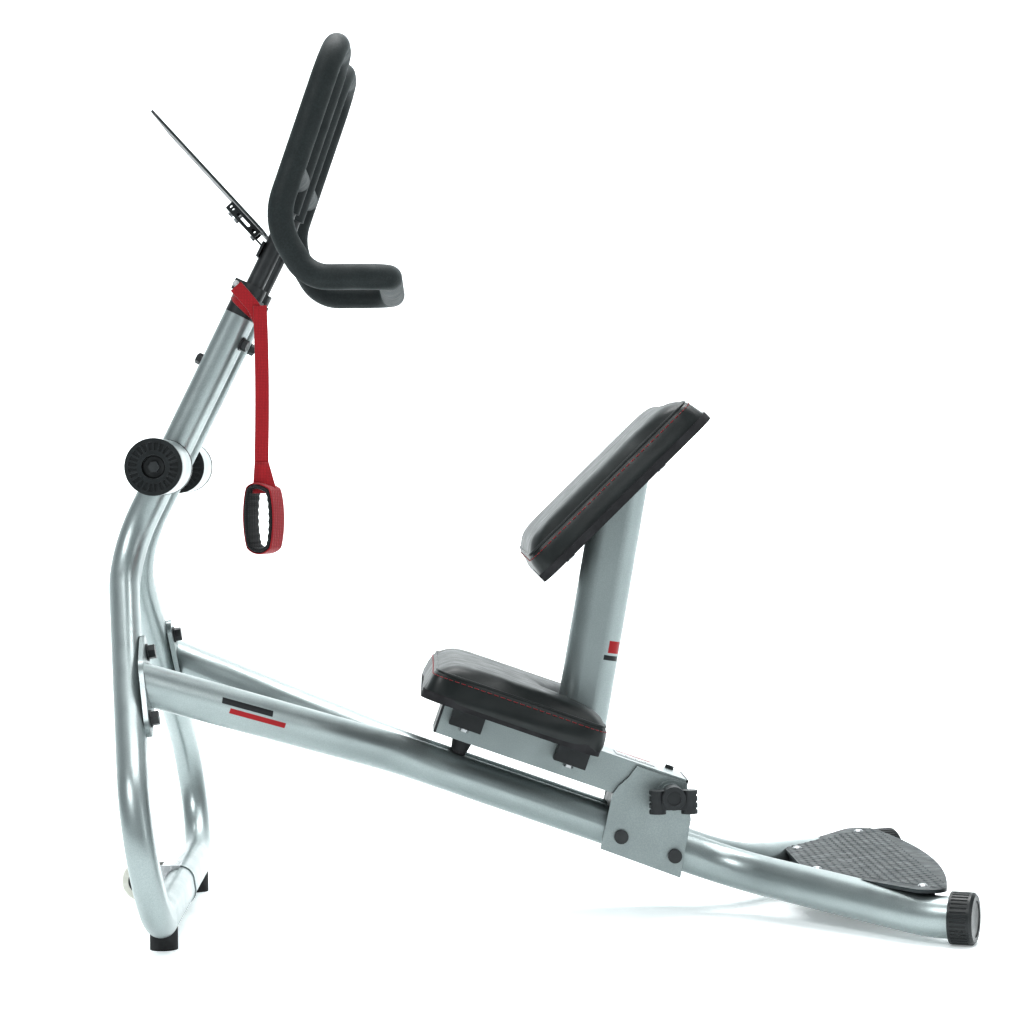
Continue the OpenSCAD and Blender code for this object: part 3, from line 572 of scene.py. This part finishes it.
def curve_through(points, count):
    """Smooth Catmull-Rom curve through the points."""
    out = []
    pts = [points[0]] + list(points) + [points[-1]]
    for i in range(1, len(pts) - 2):
        p0, p1, p2, p3 = pts[i - 1:i + 3]
        for k in range(count):
            t = k / count
            out.append(0.5 * (2 * p1 + (p2 - p0) * t + (2 * p0 - 5 * p1 + 4 * p2 - p3) * t * t
                              + (3 * p1 - p0 - 3 * p2 + p3) * t ** 3))
    out.append(points[-1].copy())
    return out


# ---------------------------------------------------------------- cushions

def arc(cx, cy, r, a0, a1, count=10):
    angles = [math.radians(a0 + (a1 - a0) * i / count) for i in range(count + 1)]
    return [Vector((cx + r * math.cos(a), cy + r * math.sin(a), 0)) for a in angles]


def box_plan(x0, x1, half, r, inset):
    """Rounded rectangle, anticlockwise from the rear edge's right part."""
    x0, x1, half, r = x0 + inset, x1 - inset, half - inset, r - inset
    return (arc(x1 - r, half - r, r, 0, 90) + arc(x0 + r, half - r, r, 90, 180)
            + arc(x0 + r, r - half, r, 180, 270) + arc(x1 - r, r - half, r, 270, 360))


def slotted_plan(length, half, r, slot, slot_x, inset):
    """The same outline with a round-ended slot in from the rear edge."""
    h = slot / 2 + inset
    lip = 0.008
    rim = length - inset
    mouth_up = [Vector((rim - lip, h, 0)), Vector((rim - lip * 0.3, h + lip * 0.3, 0)),
                Vector((rim, h + lip, 0))]
    mouth_down = [Vector((p.x, -p.y, 0)) for p in reversed(mouth_up)]
    return (mouth_up + box_plan(0, length, half, r, inset) + mouth_down
            + list(reversed(arc(slot_x, 0, h, 90, 270, 16))))


def crown_height(p, outline, rise, reach):
    """Rise of the top face at p, from 0 at the outline to full at reach inside it."""
    near = min((p - q).length for q in outline)
    u = min(1.0, near / reach)
    return rise * math.sin(u * math.pi / 2) ** 0.8


VOXEL = 0.0048
SIM_FRAMES = 20
PRESSURE = 4
MOST_SWELL = 0.006
START_INSET = 0.004
CROWN_REACH = 0.05
CORNER_REACH = 0.045
FOLD_DEPTH = 0.0008
WALL_CURVE = 0.0045
SEAM_DROP = 0.001
STITCH_DROP = 0.0062
PIPING_RADIUS = 0.0017
STITCH_RADIUS = 0.0005


def cushion(name, node, place, plan, low, rim, rise):
    """Cushion on its board: cloth-inflated cover, piping on the top seam and a red stitch line."""
    shape = evenly(plan(START_INSET), 0.006)
    bm = bmesh.new()
    floor = [bm.verts.new((p.x, p.y, low)) for p in shape]
    face = bm.faces.new(floor)
    top = bmesh.ops.extrude_face_region(bm, geom=[face])
    bmesh.ops.translate(bm, verts=[v for v in top["geom"] if isinstance(v, bmesh.types.BMVert)],
                        vec=(0, 0, rim - low))
    obj = new_object(name, bm, VINYL)
    remesh = obj.modifiers.new("remesh", "REMESH")
    remesh.mode = "VOXEL"
    remesh.voxel_size = VOXEL
    remesh.use_smooth_shade = True
    apply_modifiers(obj)
    start = [v.co.copy() for v in obj.data.vertices]
    pins = obj.vertex_groups.new(name="pins")
    pins.add([i for i, co in enumerate(start) if co.z < low + 0.004], 1.0, "REPLACE")
    cloth = obj.modifiers.new("cloth", "CLOTH")
    cloth.settings.use_pressure = True
    cloth.settings.uniform_pressure_force = PRESSURE
    cloth.settings.effector_weights.gravity = 0
    cloth.settings.vertex_group_mass = "pins"
    cloth.settings.quality = 5
    cloth.point_cache.frame_start = 1
    cloth.point_cache.frame_end = SIM_FRAMES
    for f in range(1, SIM_FRAMES + 1):
        scene.frame_set(f)
    graph = bpy.context.evaluated_depsgraph_get()
    swollen = [v.co.copy() for v in obj.evaluated_get(graph).data.vertices]
    obj.modifiers.clear()
    scene.frame_set(1)
    flat = [Vector((p.x, p.y, 0)) for p in plan(0.0)]
    x_low, x_high = min(p.x for p in flat), max(p.x for p in flat)
    y_high = max(p.y for p in flat)
    middle = Vector(((x_low + x_high) / 2, 0, 0))
    seam_z = rim - SEAM_DROP
    stitch_z = rim - STITCH_DROP
    for v, a, b in zip(obj.data.vertices, start, swollen):
        move = b - a
        if move.length > MOST_SWELL:
            move *= MOST_SWELL / move.length
        co = a + move
        plan_point = Vector((a.x, a.y, 0))
        upper = max(0.0, min(1.0, (a.z - low) / (rim - low)))
        if upper > 0.85:
            co.z += crown_height(plan_point, shape, rise, CROWN_REACH) * (upper - 0.85) / 0.15
        dx = min(a.x - x_low, x_high - a.x)
        dy = y_high - abs(a.y)
        # the walls curve in at the top seam and where the cover is pulled under the board
        wall = max(0.0, 1 - max(0.0, min(dx, dy) - 0.002) / 0.012)
        bow = 1 - math.sin(math.pi * (0.1 + 0.8 * upper))
        co -= (plan_point - middle).normalized() * WALL_CURVE * wall * bow
        # vinyl gathered under the rounded corners
        if dx < CORNER_REACH and dy < CORNER_REACH and upper < 0.9:
            angle = math.atan2(dy, dx)
            fold = math.sin(angle * 17 + a.x * 40) * (1 - upper) * FOLD_DEPTH
            out = Vector((1 if a.x > (x_low + x_high) / 2 else -1, 1 if a.y > 0 else -1, 0)).normalized()
            co += out * fold
        co.z = max(co.z, low)
        v.co = co
    relax = obj.modifiers.new("relax", "SMOOTH")
    relax.factor = 0.5
    relax.iterations = 12
    smooth = obj.modifiers.new("subdivide", "SUBSURF")
    smooth.levels = smooth.render_levels = 1
    apply_modifiers(obj)
    bm = bmesh.new()
    bm.from_mesh(obj.data)
    tree = BVHTree.FromBMesh(bm)
    bm.free()

    def on_side(p, out, z):
        """The cushion's side surface at height z, looking in from outside at p."""
        hit = tree.ray_cast(Vector((p.x, p.y, z)) + out * 0.03, -out, 0.06)
        return hit[0] if hit[0] else Vector((p.x, p.y, z))

    loop = evenly(plan(0.0), 0.004)
    outs = []
    for i, p in enumerate(loop):
        t = (loop[(i + 1) % len(loop)] - loop[i - 1]).normalized()
        outs.append(Vector((t.y, -t.x, 0)))
    trim = bmesh.new()
    line = [on_side(p, o, seam_z) + o * 0.0002 for p, o in zip(loop, outs)]
    sweep(trim, line, outs, rope_profile(PIPING_RADIUS), closed=True)
    piping = new_object(name + "_piping", trim, PIPING)
    stitches = bmesh.new()
    for i in range(0, len(loop), 2):
        a, b = i, (i + 1) % len(loop)
        pa = on_side(loop[a], outs[a], stitch_z) + outs[a] * 0.0003
        pb = on_side(loop[b], outs[b], stitch_z) + outs[b] * 0.0003
        mid = (pa + pb) / 2 + outs[a] * 0.0004
        d = (pb - pa) * 0.18
        sweep(stitches, [pa - d - outs[a] * 0.0006, pa, mid, pb, pb + d - outs[b] * 0.0006],
              [outs[a]] * 5, rope_profile(STITCH_RADIUS, 6))
    thread = new_object(name + "_stitches", stitches, THREAD)
    for piece in (obj, piping, thread):
        piece.data.transform(place)
        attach(piece, "seat")
    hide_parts(node)


def add_cushions():
    turn = Matrix.Rotation(CARRIAGE, 4, "Y")
    at = CARRIAGE_AT + DOWN_SLOPE * 0.294 + SLOPE_UP * 0.096
    cushion("lower_cushion", "lower_pad", Matrix.Translation(at) @ turn,
            lambda inset: slotted_plan(0.232, 0.19, 0.03, 0.058, 0.194, inset), -0.0097, 0.026, 0.008)
    at = Vector((0.102, 0, 0.5007))
    turn = Matrix.Rotation(math.radians(-44), 4, "Y")
    cushion("upper_cushion", "upper_pad", Matrix.Translation(at) @ turn,
            lambda inset: box_plan(-0.134, 0.151, 0.19, 0.034, inset), 0.0003, 0.036, 0.008)


# ---------------------------------------------------------------- strap and cuff

BAND_Y = -0.0826
STRAP_WIDTH = 0.0165
WEB_THICK = 0.0018


def add_strap():
    lean = math.radians(26.57)
    up = Vector((math.sin(lean), 0, math.cos(lean)))
    across = Vector((math.cos(lean), 0, -math.sin(lean)))
    top = Vector((-0.34775, -0.057, 0.731))
    ring, ups = [], []
    for i in range(48):
        a = 2 * math.pi * i / 48
        x, y = 0.0188 * math.cos(a), 0.0247 * math.sin(a)
        rise = 0.0155 - 0.006 * math.cos(a)
        ring.append(top + across * x + Vector((0, y, 0)) + up * rise)
        ups.append((across * math.cos(a) + Vector((0, math.sin(a), 0))).normalized())
    bm = bmesh.new()
    sweep(bm, ring, ups, webbing_profile(STRAP_WIDTH, WEB_THICK), closed=True)
    outward = Vector((0, -1, 0))
    tail = curve_through([
        Vector((-0.3508, BAND_Y + 0.001, 0.7655)), Vector((-0.3395, BAND_Y - 0.0004, 0.7525)),
        Vector((-0.3285, BAND_Y - 0.0008, 0.738)), Vector((-0.3222, BAND_Y - 0.0008, 0.7225))], 8)
    sweep(bm, tail, [outward] * len(tail), webbing_profile(STRAP_WIDTH, WEB_THICK))
    band = new_object("strap_band_web", bm, RED_WEB)
    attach(band, "base")
    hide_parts("strap_band")

    bm = bmesh.new()
    y = BAND_Y - 0.0034
    hang = curve_through([Vector((-0.3222, y + 0.0006, 0.742)), Vector((-0.3212, y, 0.70)),
                          Vector((-0.3208, y - 0.0012, 0.65)), Vector((-0.3215, y - 0.0008, 0.60)),
                          Vector((-0.3225, y, 0.565)), Vector((-0.3225, y, 0.536))], 10)
    sweep(bm, hang, [outward] * len(hang), webbing_profile(STRAP_WIDTH, WEB_THICK))
    # the folded end fans out to the cuff's width
    fan = [Vector((-0.3225 + 0.0006 * i, y - 0.0004 - 0.0003 * i, 0.556 - 0.0062 * i)) for i in range(7)]
    corners = ((-1, -0.0016), (1, -0.0016), (1, 0.0016), (-1, 0.0016))

    def fan_ring(i):
        half = STRAP_WIDTH * (1 + 0.13 * i) / 2
        return [bm.verts.new(fan[i] + Vector((s * half, t, 0))) for s, t in corners]

    for i in range(6):
        va, vb = fan_ring(i), fan_ring(i + 1)
        for k in range(4):
            bm.faces.new((va[k], va[(k + 1) % 4], vb[(k + 1) % 4], vb[k]))
        if i == 0:
            bm.faces.new(va)
        if i == 5:
            bm.faces.new(list(reversed(vb)))
    web = new_object("strap_web", bm, RED_WEB)
    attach(web, "strap")
    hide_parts("strap_webbing")

    turn = math.radians(-25)
    axis = Vector((math.sin(turn), -math.cos(turn), 0))
    flat = Vector((math.cos(turn), math.sin(turn), 0))
    centre = Vector((-0.321, BAND_Y - 0.0026, 0.490))

    def loop(width, height, count=72):
        pts, outs = [], []
        straight, r = height - width, width / 2
        for i in range(count):
            a = 2 * math.pi * i / count
            c, s = math.cos(a), math.sin(a)
            end = straight / 2 * max(-1.0, min(1.0, s * 1.6))
            sag = 0.0035 * math.exp(-((a - 1.2) ** 2) * 2)
            pts.append(centre + flat * (c * r) + Vector((0, 0, end + s * r - sag)))
            outs.append((flat * c + Vector((0, 0, s))).normalized())
        return pts, outs

    bm = bmesh.new()
    pts, outs = loop(0.0395, 0.0855)
    sweep(bm, pts, outs, webbing_profile(0.030, 0.0020, 8), closed=True)
    shell = new_object("cuff_band_web", bm, RED_WEB)
    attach(shell, "strap")
    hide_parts("cuff_shell")
    bm = bmesh.new()
    pts, outs = loop(0.0330, 0.0784, 144)
    rings = []
    ring_count, rib_count = 16, 36
    for i, (p, o) in enumerate(zip(pts, outs)):
        rib = 0.0006 * math.cos(2 * math.pi * i / len(pts) * rib_count)
        row = []
        for k in range(ring_count):
            a = 2 * math.pi * k / ring_count
            x = 0.0165 * math.copysign(abs(math.cos(a)) ** 0.45, math.cos(a))
            h = 0.0024 * math.copysign(abs(math.sin(a)) ** 0.7, math.sin(a))
            row.append(bm.verts.new(p + axis * x + o * (h + (rib if math.sin(a) < 0 else 0))))
        rings.append(row)
    for i in range(len(rings)):
        a, b = rings[i], rings[(i + 1) % len(rings)]
        for k in range(ring_count):
            bm.faces.new((a[k], a[(k + 1) % ring_count], b[(k + 1) % ring_count], b[k]))
    pad = new_object("cuff_padding", bm, LINING)
    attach(pad, "strap")
    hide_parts("cuff_lining")


# ---------------------------------------------------------------- foot plate tread

PLATE_TOP = 0.062
PLATE_CORNER = Vector((0.439, 0.255))
PLATE_FRONT = Vector((0.319, 0.098))
PLATE_SCREWS = [(0.335, 0.091), (0.436, 0.243)]


def inside_plate(x, y, margin):
    """How far the point lies inside the foot plate's outline, in metres, less the margin."""
    y = abs(y)
    corner_r = 0.022
    side = PLATE_CORNER - PLATE_FRONT
    out = Vector((-side.y, side.x)).normalized()
    edge = -(Vector((x, y)) - PLATE_FRONT).dot(out) + 0.001
    arc_r = 1.290
    arc_x = PLATE_CORNER.x - math.sqrt((arc_r - corner_r) ** 2 - PLATE_CORNER.y ** 2)
    rear = arc_r - math.hypot(x - arc_x, y)
    depth = min(x - PLATE_FRONT.x, edge, rear)
    if x > PLATE_CORNER.x - 0.004 and y > PLATE_CORNER.y - 0.002:
        depth = min(depth, corner_r - (Vector((x, y)) - PLATE_CORNER).length)
    for sx, sy in PLATE_SCREWS:
        depth = min(depth, math.hypot(x - sx, y - sy) - 0.0065)
    return depth - margin


def tread_height(x, y):
    """Overlapping scales: each row is a ramp that ends in a scalloped step."""
    row_len, scale_w = 0.0095, 0.0165
    row = math.floor(x / row_len)
    u = y / scale_w + 0.5 * (row % 2)
    scallop = 0.35 * abs(math.sin(math.pi * u))
    v = x / row_len + scallop
    frac = v - math.floor(v)
    return 0.0011 * (1 - frac) ** 1.5 + 0.0002 * math.sin(math.pi * u) ** 2


def add_tread():
    step = 0.0016
    grid = {}
    bm = bmesh.new()
    for i in range(int(0.146 / step)):
        x = PLATE_FRONT.x + i * step
        for j in range(-int(0.276 / step), int(0.276 / step) + 1):
            y = j * step
            depth = inside_plate(x, y, 0.0012)
            if depth > 0:
                fade = min(1.0, depth / 0.003)
                z = PLATE_TOP - 0.00025 + (tread_height(x, y) + 0.0003) * fade
                grid[i, j] = bm.verts.new((x, y, z))
    for (i, j), v in grid.items():
        others = [grid.get(k) for k in ((i + 1, j), (i + 1, j + 1), (i, j + 1))]
        if all(others):
            bm.faces.new((v, *others))
    loose = [v for v in bm.verts if not v.link_faces]
    bmesh.ops.delete(bm, geom=loose, context="VERTS")
    tread = new_object("tread_relief", bm, TREAD)
    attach(tread, "base")


add_camera()
add_studio()
paint_nodes()
add_cushions()
add_strap()
add_tread()
